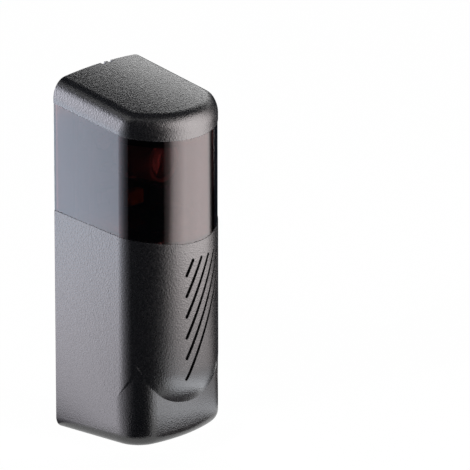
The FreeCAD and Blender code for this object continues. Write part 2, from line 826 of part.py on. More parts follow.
cap_form = cap_body("cap_form", "0", "rear", "shoulder_round")
cap_seam(cap_form, "0", False)
cap_space = cap_body("cap_space", "cover_wall", "rear + 1", "inner_shoulder")
cap_shell = combine("Cut", "cap_shell", cap_form, [cap_space])
cap_lip = lip("cap_lip", cap_seam, False)
NOTCHES = ["notch_first", "notch_first + notch_pitch"]
notches = []
for n, x in enumerate(NOTCHES):
    tall, deep = "4 * cover_wall", "notch_cut + 1"
    notches.append(block(f"notch_{n}", x, "body_height", "-1", "notch_width", tall, deep))
cap_whole = combine("Fuse", "cap_whole", cap_shell, [cap_lip])
node("top_cap", combine("Cut", "top_cap_cut", cap_whole, notches))

# Rear base: wall plate, rim, fixing bosses, cable inlet, board pillars, tongues and the cover screw's foot
base = new_body("base")
CORNER = "inner_shoulder"
PILLARS = [(x, z) for x in ("-pillar_x", "pillar_x") for z in ("pillar_low", "pillar_high")]
wall_plate = front_outline(base).round_rectangle("base_half_width", "base_low", "plate_top", CORNER)
pad(base, wall_plate, "base_plate")
rim = front_outline(base).round_rectangle("base_half_width", "base_low", "rim_top", CORNER)
inner_corner = f"max({CORNER} - rim_wall; least_round)"
rim.round_rectangle("base_half_width - rim_wall", "base_low + rim_wall", "rim_top - rim_wall", inner_corner)
pad(base, rim, "rim_height")
for height in ("fixing_low", "fixing_high"):
    pad(base, front_outline(base).circle("0", height, "fixing_boss"), "base_plate + fixing_boss_height")
pad(base, front_outline(base).circle("0", "inlet_height", "inlet_boss"), "inlet_face")
pillars = front_outline(base)
for x, z in PILLARS:
    pillars.circle(x, z, "pillar_width")
pad(base, pillars, "pillar_height")
tongues = front_outline(base)
for x in NOTCHES:
    left, right = (f"{x} {sign} (notch_width / 2 - base_fit)" for sign in "-+")
    tongues.rectangle(left, "plate_top - tongue_root", right, "body_height - tongue_set")
pad(base, tongues, "notch_cut - base_fit")
foot = front_outline(base)
foot.rectangle("-foot_width / 2", "foot_low", "foot_width / 2", "foot_low + foot_height")
pad(base, foot, "screw_depth + foot_overhang")
seat = front_outline(base, "gasket_from")
seat.round_rectangle("base_half_width + 1", "base_low - 1", "plate_top + 1", CORNER)
seat.round_rectangle("base_half_width - gasket_cut", "base_low + gasket_cut", "rim_top - gasket_cut", CORNER)
pocket(base, seat, "gasket_width", True)
for height in ("fixing_low", "fixing_high"):
    pocket(base, front_outline(base).circle("0", height, "fixing_hole"), "2 * rim_height", True)
pocket(base, front_outline(base).circle("0", "inlet_height", "inlet_hole"), "2 * rim_height", True)
pocket(base, front_outline(base).circle("0", "inlet_height", "inlet_recess"), "inlet_recess_cut", True)
pilots = front_outline(base, "pillar_height")
for x, z in PILLARS:
    pilots.circle(x, z, "board_screw + 2 * thread_fit")
pocket(base, pilots, "board_screw_length - board_thick + pilot_spare")
pilot = Outline(base, "XY", "foot_low").circle("0", depth("screw_depth"), "screw_shank + 2 * thread_fit")
pocket(base, pilot, "screw_seat + screw_length - foot_low + pilot_spare", True)
node("rear_base", base)

gasket = new_body("gasket")
ring = front_outline(gasket, "gasket_from")
ring.round_rectangle("half_width - cover_wall", "cover_wall", "rim_top", CORNER)
ring.round_rectangle("base_half_width - gasket_cut", "base_low + gasket_cut", "rim_top - gasket_cut", CORNER)
pad(gasket, ring, "gasket_width")
node("base_gasket", gasket)

# Cable grommet: a turned rubber bush with a lip on each side of the plate
grommet = new_body("grommet")
profile = Outline(grommet, "YZ")
profile.axis((depth("0"), "inlet_height"), (depth("inlet_face"), "inlet_height"))
bush = [
    ("grommet_fit", "cable_hole / 2"),
    ("grommet_fit", "inlet_recess / 2 - 2 * grommet_fit"),
    ("inlet_recess_cut", "inlet_recess / 2 - 2 * grommet_fit"),
    ("inlet_recess_cut", "inlet_hole / 2 - grommet_fit"),
    ("inlet_face", "inlet_hole / 2 - grommet_fit"),
    ("inlet_face", "inlet_recess / 2 - 2 * grommet_fit"),
    ("inlet_face + grommet_lip", "inlet_recess / 2 - 2 * grommet_fit - grommet_lip"),
    ("inlet_face + grommet_lip", "cable_hole / 2"),
]
profile.polygon([(depth(d), f"inlet_height + {r}") for d, r in bush])
turn(grommet, profile)
node("cable_grommet", grommet)

# Cover screw from below
screw = new_body("screw")
profile = Outline(screw, "YZ")
profile.axis((depth("screw_depth"), "0"), (depth("screw_depth"), "screw_length"))
shape = [
    ("0", "screw_head_recess"),
    ("screw_head / 2 - screw_chamfer", "screw_head_recess"),
    ("screw_head / 2", "screw_head_recess + screw_chamfer"),
    ("screw_head / 2", "screw_seat"),
    ("screw_shank / 2", "screw_seat"),
    ("screw_shank / 2", "screw_seat + screw_length - screw_tip"),
    ("screw_shank / 5", "screw_seat + screw_length"),
    ("0", "screw_seat + screw_length"),
]
profile.polygon([(depth(f"screw_depth + {r}"), z) for r, z in shape])
turn(screw, profile)
cross = Outline(screw, "XY", "screw_head_recess")
cross_front, cross_rear = depth("screw_depth + cross_reach"), depth("screw_depth - cross_reach")
cross.rectangle("-slot_width / 2", cross_front, "slot_width / 2", cross_rear)
pocket(screw, cross, "slot_cut", True)
across = Outline(screw, "XY", "screw_head_recess")
slot_front, slot_rear = depth("screw_depth + slot_width / 2"), depth("screw_depth - slot_width / 2")
across.rectangle("-cross_reach", slot_front, "cross_reach", slot_rear)
pocket(screw, across, "slot_cut", True)
node("cover_screw", screw)

# Circuit board on its four pillars
board = new_body("board")
plate = front_outline(board, "pillar_height")
plate.rectangle("-board_half_width", "board_low", "board_half_width", "board_top")
for x, z in PILLARS:
    plate.circle(x, z, "board_screw + 2 * screw_fit")
pad(board, plate, "board_thick")
node("circuit_board", board)


def board_fastener(x, z, name):
    head = rod(name + "_head", x, z, "board_face", "board_screw_head", "board_screw_head_height")
    shank = rod(name + "_shank", x, z, "board_face - board_screw_length", "board_screw", "board_screw_length")
    slot_at = "board_face + board_screw_head_height - slot_cut"
    slot = block(name + "_slot", x, z, slot_at, "2 * board_screw_head", "slot_width", "2 * slot_cut")
    return combine("Cut", name, combine("Fuse", name + "_solid", head, [shank]), [slot])


def group(label, members):
    compound = doc.addObject("Part::Compound", label + "_group")
    compound.Links = members
    return node(label, compound)


group("board_screws", [board_fastener(x, z, f"board_screw_{n}") for n, (x, z) in enumerate(PILLARS)])

# Lens, its holder and the photodiode behind it
holder = new_body("holder")
profile = Outline(holder, "YZ")
profile.axis((depth("0"), "lens_height"), (depth("holder_front"), "lens_height"))
tube = [
    ("board_face", "holder_bore_rear / 2"),
    ("board_face", "holder_flange / 2"),
    ("board_face + holder_flange_thick", "holder_flange / 2"),
    ("board_face + holder_flange_thick", "holder_width / 2"),
    ("holder_front", "holder_width / 2"),
    ("holder_front", "lens_width / 2 + lens_fit"),
    ("lens_rear", "lens_width / 2 + lens_fit"),
    ("lens_rear", "holder_bore_front / 2"),
]
profile.polygon([(depth(d), f"lens_height + {r}") for d, r in tube])
turn(holder, profile)
node("lens_holder", holder)

glass = new_body("glass")
profile = Outline(glass, "YZ")
axis = profile.axis((depth("0"), "lens_height"), (depth("holder_front"), "lens_height"))
radius = "(lens_width * lens_width / 4 + lens_bulge * lens_bulge) / (2 * lens_bulge)"
flat, rim_y = depth("lens_rear"), depth("lens_rear + lens_edge")
tip = depth("lens_rear + lens_edge + lens_bulge")
edge_z = "lens_height + lens_width / 2"
r, middle = size(radius), size(f"{tip} + {radius}")
lean = math.asin(size("lens_width / 2") / r)
dome = profile.arc((middle, size("lens_height")), r, math.pi - lean, math.pi)
wall = profile.add(Part.LineSegment(point(rim_y, edge_z), point(flat, edge_z)))
back = profile.add(Part.LineSegment(point(flat, edge_z), point(flat, "lens_height")))
profile.rule("Coincident", dome, 1, wall, 1)
profile.rule("Coincident", wall, 2, back, 1)
profile.rule("PointOnObject", dome, 3, axis)
profile.pin(wall, 1, rim_y, edge_z)
profile.pin(back, 1, flat, edge_z)
profile.pin(back, 2, flat, "lens_height")
profile.pin(dome, 2, tip, "lens_height")
profile.join(back, 2, dome, 2)
turn(glass, profile)
node("lens", glass)

sensor = block("sensor", "0", "lens_height", "board_face", "diode_width", "diode_width", "diode_thick")
eye = rod("eye", "0", "lens_height", "board_face", "diode_dome", "diode_thick + diode_dome_rise")
node("photodiode", combine("Fuse", "photodiode_whole", sensor, [eye]))

# Screw terminals along the board's lower edge
housing = new_body("housing")
pad(
    housing,
    front_outline(housing, "board_face").rectangle(
        "-terminal_half", "board_low", "terminal_half", "board_low + terminal_tall"
    ),
    "terminal_deep",
)
ROW = ("(terminal_count - 1) * terminal_pitch", "terminal_count")
front_face = size(depth("terminal_face"))
round_edges(housing, "terminal_round", lambda e: same(along(e, "Y"), front_face))
entry = Outline(housing, "XY", "board_low")
entry.rectangle(
    "terminal_first - cage_width / 2 - cage_fit",
    depth("cage_rear + cage_deep"),
    "terminal_first + cage_width / 2 + cage_fit",
    depth("cage_rear"),
)
ways = pocket(housing, entry, "cage_low - board_low + cage_tall", True)
repeat(housing, [ways], "X", *ROW)
well = front_outline(housing, "terminal_face")
well.circle("terminal_first", "cage_mid", "clamp_screw_head + 2 * clamp_screw_fit")
wells = pocket(housing, well, "terminal_face - cage_rear - cage_deep")
repeat(housing, [wells], "X", *ROW)
node("terminal_block", housing)

cages = new_body("cages")
cage = front_outline(cages, "cage_rear")
left, right = "terminal_first - cage_width / 2", "terminal_first + cage_width / 2"
cage.rectangle(left, "cage_low", right, "cage_low + cage_tall")
frame = pad(cages, cage, "cage_deep")
throat = Outline(cages, "XY", "cage_low")
throat_front, throat_rear = depth("cage_rear + cage_deep - 2 * cage_wall"), depth("cage_rear + cage_wall")
throat.rectangle(f"{left} + cage_wall", throat_front, f"{right} - cage_wall", throat_rear)
opening = pocket(cages, throat, "cage_tall", True)
tapped = front_outline(cages, "cage_rear + cage_deep").circle(
    "terminal_first", "cage_mid", "clamp_screw_shank + 2 * thread_fit"
)
thread = pocket(cages, tapped, "2 * cage_wall")
repeat(cages, [frame, opening, thread], "X", *ROW)
node("terminal_clamps", cages)


def clamp_screw(n):
    name, x = f"clamp_screw_{n}", f"terminal_first + {n} * terminal_pitch"
    seat_at, reach = "cage_rear + cage_deep", "3 * cage_wall"
    shank = rod(name + "_shank", x, "cage_mid", f"{seat_at} - {reach}", "clamp_screw_shank", reach)
    head = rod(name + "_head", x, "cage_mid", seat_at, "clamp_screw_head", "clamp_screw_head_height")
    slot_at = f"{seat_at} + clamp_screw_head_height - slot_cut"
    slot = block(name + "_slot", x, "cage_mid", slot_at, "2 * clamp_screw_head", "slot_width", "2 * slot_cut")
    return combine("Cut", name, combine("Fuse", name + "_solid", head, [shank]), [slot])


group("terminal_screws", [clamp_screw(n) for n in range(int(size("terminal_count")))])

# Parts that stand on the board's face


def up(text):
    """The height of a part on the board."""
    return f"board_low + {text}"


def brick(label, name):
    """A moulded box with its front edges rounded."""
    body = new_body(label + "_body")
    x, z, half, tall = f"{name}_x", up(f"{name}_up"), f"{name}_width / 2", f"{name}_tall / 2"
    outline = front_outline(body, "board_face")
    outline.rectangle(f"{x} - {half}", f"{z} - {tall}", f"{x} + {half}", f"{z} + {tall}")
    pad(body, outline, f"{name}_deep")
    back = size(depth("board_face"))
    round_edges(body, f"{name}_round", lambda e: not same(along(e, "Y"), back))
    return node(label, body)


brick("relay", "relay")
brick("tantalum_capacitor", "tantalum")


def turned_on_board(name, x, z, steps):
    """A turned part that stands on the board: its steps are radius and rise from the face."""
    body = new_body(name)
    profile = Outline(body, "YZ")
    profile.axis((depth("board_face"), z), (depth("board_face + 10"), z))
    profile.polygon([(depth(f"board_face + {rise}"), f"{z} + {r}") for r, rise in steps])
    turn(body, profile)
    drive(body, "Placement.Base.x", x)
    return body


def can(name):
    r, tall, crimp = f"{name}_width / 2", f"{name}_deep", "can_crimp"
    steps = [
        ("0", "0"),
        (r, "0"),
        (r, f"4 * {crimp}"),
        (f"{r} - {crimp}", f"5.5 * {crimp}"),
        (r, f"7 * {crimp}"),
        (r, f"{tall} - {crimp}"),
        (f"{r} - {crimp}", tall),
        ("0", tall),
    ]
    return turned_on_board(name, f"{name}_x", up(f"{name}_up"), steps)


group("electrolytic_capacitors", [can("large_can"), can("small_can")])


def led(label, x):
    steps = [
        ("0", "0"),
        ("led_flange / 2", "0"),
        ("led_flange / 2", "led_flange_thick"),
        ("led_width / 2", "led_flange_thick"),
        ("led_width / 2", "led_deep"),
        ("0", "led_deep"),
    ]
    body = turned_on_board(label + "_body", x, up(label + "_up"), steps)
    tip = size(depth("board_face + led_deep"))
    round_edges(body, "led_round", lambda e: same(along(e, "Y"), tip))
    return node(label, body)


led("status_led", "led_x")
led("power_led", "-led_x")

# Varistor: a coated disc on edge, with two legs
coated = new_body("coated")
disc = Outline(coated, "YZ", "varistor_x - varistor_thick / 2")
disc.circle(depth("board_face + varistor_stand + varistor_disc / 2"), up("varistor_up"), "varistor_disc")
pad(coated, disc, "varistor_thick")
round_edges(coated, "varistor_thick / 3", lambda e: along(e, "X") is not None)
legs = front_outline(coated, "board_face")
for side in ("-", "+"):
    legs.circle("varistor_x", f"board_low + varistor_up {side} varistor_leg_pitch / 2", "varistor_leg")
pad(coated, legs, "varistor_stand + varistor_disc / 2")
node("varistor", coated)

# Rectifier diodes: a row of moulded blocks, each with a tab at both ends
rectifiers = new_body("rectifiers")
first_x, z = "rectifier_x - (rectifier_count - 1) * rectifier_pitch / 2", up("rectifier_up")
moulded, tabs = (front_outline(rectifiers, "board_face") for _ in range(2))
half, tall = "rectifier_width / 2", "rectifier_tall / 2"
moulded.rectangle(f"{first_x} - {half}", f"{z} - {tall}", f"{first_x} + {half}", f"{z} + {tall}")
half, tall = "rectifier_tab / 2", "rectifier_span / 2"
tabs.rectangle(f"{first_x} - {half}", f"{z} - {tall}", f"{first_x} + {half}", f"{z} + {tall}")
first_diode = [pad(rectifiers, moulded, "rectifier_deep"), pad(rectifiers, tabs, "tab_thick")]
repeat(rectifiers, first_diode, "X", "(rectifier_count - 1) * rectifier_pitch", "rectifier_count")
node("rectifier_diodes", rectifiers)

# Amplifier chip: a moulded body between two rows of bent legs
chip = new_body("chip")
case = front_outline(chip, "board_face + chip_stand")
chip_z = "board_low + chip_up"
half, tall = "chip_width / 2", "chip_tall / 2"
case.rectangle(f"chip_x - {half}", f"{chip_z} - {tall}", f"chip_x + {half}", f"{chip_z} + {tall}")
pad(chip, case, "chip_deep")
bend = Outline(chip, "XY", f"{chip_z} - (chip_leg_count - 1) * chip_leg_pitch / 2 - chip_leg / 2")
for side in ("-", "+"):
    root, toe, knee = "chip_width / 2", "chip_span / 2", "(chip_width / 2 + 2 * chip_leg_thick)"
    leg = [
        (root, "chip_leg_rise"),
        (knee, "chip_leg_rise"),
        (knee, "chip_leg_thick"),
        (toe, "chip_leg_thick"),
        (toe, "0"),
        (f"({knee} - chip_leg_thick)", "0"),
        (f"({knee} - chip_leg_thick)", "chip_leg_rise - chip_leg_thick"),
        (root, "chip_leg_rise - chip_leg_thick"),
    ]
    bend.polygon([(f"chip_x {side} {x}", depth(f"board_face + {rise}")) for x, rise in leg])
leg_pair = pad(chip, bend, "chip_leg")
repeat(chip, [leg_pair], "Z", "(chip_leg_count - 1) * chip_leg_pitch", "chip_leg_count")
node("amplifier_chip", chip)

# Voltage regulator: a moulded body with a cooling tab above and three legs below
regulator = new_body("regulator")
z, half, tall = up("regulator_up"), "regulator_width / 2", "regulator_tall / 2"
case = front_outline(regulator, "board_face")
case.rectangle(f"regulator_x - {half}", f"{z} - {tall}", f"regulator_x + {half}", f"{z} + {tall}")
pad(regulator, case, "regulator_deep")
metal = front_outline(regulator, "board_face")
half, reach = "regulator_tab / 2", "regulator_span / 2"
metal.rectangle(f"regulator_x - {half}", f"{z} + {tall} / 2", f"regulator_x + {half}", f"{z} + {reach}")
half = "regulator_leg / 2"
for n in (-1, 0, 1):
    x = f"regulator_x + {n} * regulator_leg_pitch"
    metal.rectangle(f"{x} - {half}", f"{z} - {reach}", f"{x} + {half}", f"{z} - {tall} / 2")
pad(regulator, metal, "tab_thick")
node("voltage_regulator", regulator)

# Jumper: an upright two-pin header and the cap pushed down on it
def jumper_block(body, at, ease):
    outline = front_outline(body, at)
    half, tall, z = f"(jumper_pitch / 2 - {ease})", f"(jumper_pitch - {ease})", up("jumper_up")
    return outline.rectangle(f"jumper_x - {half}", f"{z} - {tall}", f"jumper_x + {half}", f"{z} + {tall}")


def jumper_pins(body, at, width):
    outline = front_outline(body, at)
    half = f"({width}) / 2"
    for side in ("-", "+"):
        z = f"board_low + jumper_up {side} jumper_pitch / 2"
        outline.rectangle(f"jumper_x - {half}", f"{z} - {half}", f"jumper_x + {half}", f"{z} + {half}")
    return outline


header = new_body("header")
pad(header, jumper_block(header, "board_face", "0"), "jumper_header_deep")
pad(header, jumper_pins(header, "board_face", "jumper_pin"), "jumper_header_deep + jumper_pin_reach")
node("jumper_header", header)

shunt = new_body("shunt")
header_face = "board_face + jumper_header_deep"
pad(shunt, jumper_block(shunt, header_face, "jumper_cap_ease"), "jumper_cap_deep")
holes = jumper_pins(shunt, header_face, "jumper_pin + 2 * thread_fit")
pocket(shunt, holes, "jumper_pin_reach + jumper_cap_ease", True)
node("jumper_cap", shunt)

doc.recompute()

# Every object is sound before anything is written
for thing in doc.Objects:
    if {"Invalid", "Error"} & set(thing.State):
        raise RuntimeError(f"{thing.Name}: {thing.State}")
os.makedirs("parts", exist_ok=True)
for label, thing in NODES.items():
    shape = thing.Shape
    if shape.isNull() or not shape.isValid():
        raise RuntimeError(f"{label} has no sound shape")
    shape.exportStep(f"parts/{label}.step")
    print(label, len(shape.Solids), round(shape.Volume, 2))
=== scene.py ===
import math

import bpy
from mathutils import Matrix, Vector

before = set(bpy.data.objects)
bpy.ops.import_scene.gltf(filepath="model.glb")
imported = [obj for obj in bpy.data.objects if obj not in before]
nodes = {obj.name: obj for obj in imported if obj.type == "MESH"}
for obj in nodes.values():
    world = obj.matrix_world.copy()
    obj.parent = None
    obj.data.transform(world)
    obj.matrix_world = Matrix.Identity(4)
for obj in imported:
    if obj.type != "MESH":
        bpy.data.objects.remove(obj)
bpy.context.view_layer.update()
scene = bpy.context.scene
scene.view_settings.view_transform = "Standard"
MM = 0.001


# Node helpers
class Tree:
    """The node tree of a material or world, with short ways to add and link nodes."""

    def __init__(self, owner):
        owner.use_nodes = True
        self.nodes = owner.node_tree.nodes
        self.links = owner.node_tree.links
        self.nodes.clear()

    def add(self, kind, inputs=None, **settings):
        made = self.nodes.new(kind)
        for key, value in settings.items():
            setattr(made, key, value)
        for key, value in (inputs or {}).items():
            self.put(made.inputs[key], value)
        return made

    def put(self, socket, value):
        if isinstance(value, bpy.types.NodeSocket):
            self.links.new(value, socket)
        else:
            socket.default_value = value

    def close(self, shader, kind="ShaderNodeOutputMaterial"):
        self.put(self.add(kind).inputs["Surface"], shader)

    def either(self, fac, first, second):
        """The first shader where fac is 0 and the second where it is 1."""
        return self.add("ShaderNodeMixShader", {0: fac, 1: first, 2: second}).outputs[0]

    def spot(self):
        """A point's place in the CAD frame."""
        return self.add("ShaderNodeTexCoord").outputs["Object"]

    def noise(self, size_mm, detail=2.0, rough=0.5):
        values = {"Scale": 1 / (size_mm * MM), "Detail": detail, "Roughness": rough}
        return self.add("ShaderNodeTexNoise", {"Vector": self.spot(), **values}).outputs["Fac"]

    def cells(self, scale, feature="F1"):
        values = {"Vector": self.spot(), "Scale": scale}
        return self.add("ShaderNodeTexVoronoi", values, feature=feature).outputs["Distance"]

    def ramp(self, fac, *stops):
        made = self.add("ShaderNodeValToRGB", {"Fac": fac})
        line = made.color_ramp.elements
        while len(line) < len(stops):
            line.new(0.5)
        for element, (place, colour) in zip(line, stops):
            element.position = place
            element.color = (*colour, 1)
        return made.outputs["Color"]

    def spread(self, fac, low, high, start=0.3, end=0.7):
        """A value from low to high; noise lies mostly between the default start and end."""
        values = {"Value": fac, "From Min": start, "From Max": end, "To Min": low, "To Max": high}
        return self.add("ShaderNodeMapRange", values).outputs["Result"]

    def math(self, operation, *values):
        made = self.add("ShaderNodeMath", operation=operation)
        for socket, value in zip(made.inputs, values):
            self.put(socket, value)
        return made.outputs["Value"]

    def blend(self, fac, first, second, kind="MIX"):
        made = self.add("ShaderNodeMix", data_type="RGBA", blend_type=kind)
        for index, value in ((0, fac), (6, first), (7, second)):
            self.put(made.inputs[index], value)
        return made.outputs[2]

    def rounded(self, radius_mm):
        bevel = self.add("ShaderNodeBevel", {"Radius": radius_mm * MM}, samples=4)
        return bevel.outputs["Normal"]

    def edges(self, radius_mm):
        """1 on sharp edges and 0 on faces."""
        plain = self.add("ShaderNodeNewGeometry").outputs["Normal"]
        pair = {0: self.rounded(radius_mm), 1: plain}
        turn = self.add("ShaderNodeVectorMath", pair, operation="DOT_PRODUCT")
        return self.spread(turn.outputs["Value"], 1.0, 0.0, 0.75, 0.98)

    def bump(self, height, depth_mm, normal=None):
        values = {"Height": height, "Distance": depth_mm * MM, "Strength": 1.0}
        if normal:
            values["Normal"] = normal
        return self.add("ShaderNodeBump", values).outputs["Normal"]


def tone(colour, factor):
    return tuple(min(1.0, c * factor) for c in colour)


def surface(name, inputs):
    """A material with one principled shader; each input is a constant or is made from the tree."""
    made = bpy.data.materials.new(name)
    tree = Tree(made)
    shader = tree.add("ShaderNodeBsdfPrincipled")
    for key, value in inputs.items():
        tree.put(shader.inputs[key], value(tree) if callable(value) else value)
    tree.close(shader.outputs["BSDF"])
    return made


WORN_EDGE_MM = 0.2
WORN_LIFT = 0.03


def mottled(colour, amount, size_mm, worn=0.0):
    """A colour that drifts a little over the piece, paler on worn edges."""

    def make(tree):
        deep, light = tone(colour, 1 - amount), tone(colour, 1 + amount)
        base = tree.ramp(tree.noise(size_mm, 3), (0.3, deep), (0.7, light))
        if not worn:
            return base
        pale = (*tone(tuple(c + WORN_LIFT for c in colour), 1 + worn), 1)
        return tree.blend(tree.edges(WORN_EDGE_MM), base, pale)

    return make


def uneven(low, high, size_mm):
    return lambda tree: tree.spread(tree.noise(size_mm, 3), low, high)


def grained(size_mm, depth_mm, edge_mm=0.0):
    def make(tree):
        normal = tree.rounded(edge_mm) if edge_mm else None
        return tree.bump(tree.noise(size_mm, 2), depth_mm, normal)

    return make


def plastic(name, colour, low, high, grain=(0.4, 0.01), worn=0.25):
    """A moulding with its lowest and highest roughness, and its grain's size and depth in mm."""
    inputs = {
        "Base Color": mottled(colour, 0.08, 6, worn),
        "Roughness": uneven(low, high, 1.5),
        "Normal": grained(*grain, edge_mm=0.12),
    }
    return surface(name, inputs)


def metal(name, colour, low, high):
    inputs = {
        "Base Color": mottled(colour, 0.1, 0.8),
        "Metallic": 1.0,
        "Roughness": uneven(low, high, 0.4),
        "Normal": grained(0.25, 0.004, 0.06),
    }
    return surface(name, inputs)


# Charcoal moulding with a spark-eroded grain
CHARCOAL = (0.006, 0.006, 0.0065)
COARSE_MM, FINE_MM, SPECK_MM, DRIFT_MM = 0.55, 0.43, 0.5, 14
GRAIN_DEPTH_MM = 0.078


def spark_grain(tree):
    coarse = tree.math("MULTIPLY", tree.noise(COARSE_MM, 2, 0.6), 0.6)
    fine = tree.math("MULTIPLY", tree.cells(1 / (FINE_MM * MM)), 0.5)
    return tree.bump(tree.math("ADD", coarse, fine), GRAIN_DEPTH_MM, tree.rounded(0.18))


def spark_colour(tree):
    deep, light = tone(CHARCOAL, 0.86), tone(CHARCOAL, 1.14)
    speck = tree.ramp(tree.noise(SPECK_MM, 2, 0.6), (0.35, deep), (0.65, light))
    drift = tree.ramp(tree.noise(DRIFT_MM, 2), (0.3, (0.92, 0.92, 0.92)), (0.7, (1, 1, 1)))
    body = tree.blend(1.0, speck, drift, "MULTIPLY")
    return tree.blend(tree.edges(0.25), body, (*tone(CHARCOAL, 1.5), 1))


housing = surface(
    "charcoal_moulding",
    {
        "Base Color": spark_colour,
        "Roughness": uneven(0.22, 0.3, 0.8),
        "Normal": spark_grain,
        "IOR": 1.75,
    },
)


# Smoked red-brown window, moulded glossy
def window_wave(tree):
    flow = tree.noise(9, 1)
    haze = tree.noise(0.35, 2)
    height = tree.math("ADD", flow, tree.math("MULTIPLY", haze, 0.004))
    return tree.bump(height, 0.012, tree.rounded(0.12))


window = surface(
    "smoked_window",
    {
        "Base Color": mottled((0.13, 0.045, 0.043), 0.06, 12),
        "Roughness": uneven(0.04, 0.07, 3),
        "Normal": window_wave,
        "IOR": 1.55,
        "Transmission Weight": 1.0,
    },
)


# Circuit board with its tracks under green mask
TRACKS_A_METRE = 420.0


def tracks(tree):
    line = tree.spread(tree.cells(TRACKS_A_METRE, "DISTANCE_TO_EDGE"), 1.0, 0.0, 0.06, 0.1)
    deep, light = (0.006, 0.045, 0.02), (0.009, 0.06, 0.027)
    mask = tree.ramp(tree.noise(3, 2), (0.3, deep), (0.7, light))
    return tree.blend(line, mask, (0.02, 0.11, 0.045, 1))


board = surface(
    "green_board",
    {"Base Color": tracks, "Roughness": uneven(0.25, 0.4, 0.7), "Normal": grained(0.3, 0.01)},
)

clear_lens = surface(
    "clear_lens",
    {
        "Base Color": mottled((0.92, 0.93, 0.95), 0.02, 4),
        "Roughness": uneven(0.02, 0.06, 1.2),
        "Normal": grained(1.5, 0.004),
        "IOR": 1.49,
        "Transmission Weight": 0.85,
    },
)


def diffuser(name, colour):
    """The cloudy dome of a lamp on the board."""
    inputs = {
        "Base Color": mottled(colour, 0.05, 1.5),
        "Roughness": uneven(0.1, 0.2, 0.6),
        "Normal": grained(0.5, 0.004),
        "Transmission Weight": 0.35,
    }
    return surface(name, inputs)


ZINC = (0.62, 0.63, 0.62)
FINISH = {
    "lower_cover": housing,
    "top_cap": housing,
    "smoked_window": window,
    "rear_base": plastic("black_base", (0.03, 0.03, 0.033), 0.38, 0.52, (0.6, 0.02)),
    "base_gasket": plastic("gasket_rubber", (0.025, 0.025, 0.025), 0.65, 0.8, (0.5, 0.02), 0.1),
    "cable_grommet": plastic("grommet_rubber", (0.02, 0.02, 0.021), 0.55, 0.7, (0.5, 0.015), 0.1),
    "circuit_board": board,
    "lens": clear_lens,
    "lens_holder": plastic("pale_holder", (0.72, 0.7, 0.66), 0.4, 0.5),
    "photodiode": plastic("diode_moulding", (0.02, 0.018, 0.02), 0.2, 0.3),
    "terminal_block": plastic("terminal_moulding", (0.035, 0.12, 0.06), 0.35, 0.5),
    "relay": plastic("relay_case", (0.03, 0.032, 0.04), 0.3, 0.42),
    "tantalum_capacitor": plastic("tantalum_moulding", (0.78, 0.5, 0.08), 0.4, 0.5),
    "electrolytic_capacitors": plastic("can_sleeve", (0.03, 0.03, 0.035), 0.25, 0.4),
    "varistor": plastic("varistor_coat", (0.04, 0.1, 0.3), 0.4, 0.55),
    "rectifier_diodes": plastic("diode_case", (0.022, 0.022, 0.022), 0.45, 0.6),
    "amplifier_chip": plastic("chip_case", (0.02, 0.02, 0.021), 0.45, 0.6),
    "voltage_regulator": plastic("regulator_case", (0.022, 0.022, 0.022), 0.45, 0.6),
    "jumper_header": plastic("header_moulding", (0.02, 0.02, 0.02), 0.4, 0.5),
    "jumper_cap": plastic("jumper_moulding", (0.05, 0.09, 0.4), 0.35, 0.5),
    "status_led": diffuser("red_led", (0.5, 0.02, 0.02)),
    "power_led": diffuser("green_led", (0.03, 0.35, 0.06)),
    "cover_screw": metal("zinc_screw", ZINC, 0.28, 0.42),
    "board_screws": metal("board_screw_zinc", ZINC, 0.28, 0.42),
    "terminal_screws": metal("clamp_screw_zinc", (0.62, 0.62, 0.6), 0.25, 0.4),
    "terminal_clamps": metal("clamp_brass", (0.7, 0.5, 0.22), 0.3, 0.45),
}
for name, finish in FINISH.items():
    held = nodes[name].data
    held.materials.clear()
    held.materials.append(finish)


# Floor and world: plain white where they are seen, and dim as light on the object
WHITE = (1, 1, 1, 1)
FLOOR_REACH = 3
FLOOR_Z = -0.0001  # just below the part, whose underside shows through the floor from below
FLOOR_SEEN = 0.994  # the rest of the floor's look is its own grey, which takes the shadow
WORLD_DIM = 0.06


def sheet(name, corners, material, **shown):
    data = bpy.data.meshes.new(name)
    data.from_pydata(corners, [], [tuple(range(len(corners)))])
    made = bpy.data.objects.new(name, data)
    data.materials.append(material)
    scene.collection.objects.link(made)
    for key, value in shown.items():
        setattr(made, key, value)


def rectangle(x0, x1, y0, y1, z):
    return [(x0, y0, z), (x1, y0, z), (x1, y1, z), (x0, y1, z)]


def seen(tree):
    path = tree.add("ShaderNodeLightPath").outputs
    both = tree.math("MAXIMUM", path["Is Camera Ray"], path["Is Glossy Ray"])
    return tree.math("MAXIMUM", both, path["Is Transmission Ray"])


floor_paint = bpy.data.materials.new("floor_paint")
tree = Tree(floor_paint)
matt = tree.add("ShaderNodeBsdfDiffuse", {"Color": (0.6, 0.6, 0.6, 1)}).outputs[0]
white = tree.add("ShaderNodeEmission", {"Color": WHITE, "Strength": 1.0}).outputs[0]
above = tree.either(tree.math("MULTIPLY", seen(tree), FLOOR_SEEN), matt, white)
below = tree.add("ShaderNodeBsdfTransparent").outputs[0]
tree.close(tree.either(tree.add("ShaderNodeNewGeometry").outputs["Backfacing"], above, below))
sheet("floor", rectangle(-FLOOR_REACH, FLOOR_REACH, -FLOOR_REACH, FLOOR_REACH, FLOOR_Z), floor_paint)

world = bpy.data.worlds.new("studio")
scene.world = world
tree = Tree(world)
dim = tree.add("ShaderNodeBackground", {"Color": WHITE, "Strength": WORLD_DIM}).outputs[0]
bright = tree.add("ShaderNodeBackground", {"Color": WHITE, "Strength": 1.0}).outputs[0]
tree.close(tree.either(seen(tree), dim, bright), "ShaderNodeOutputWorld")


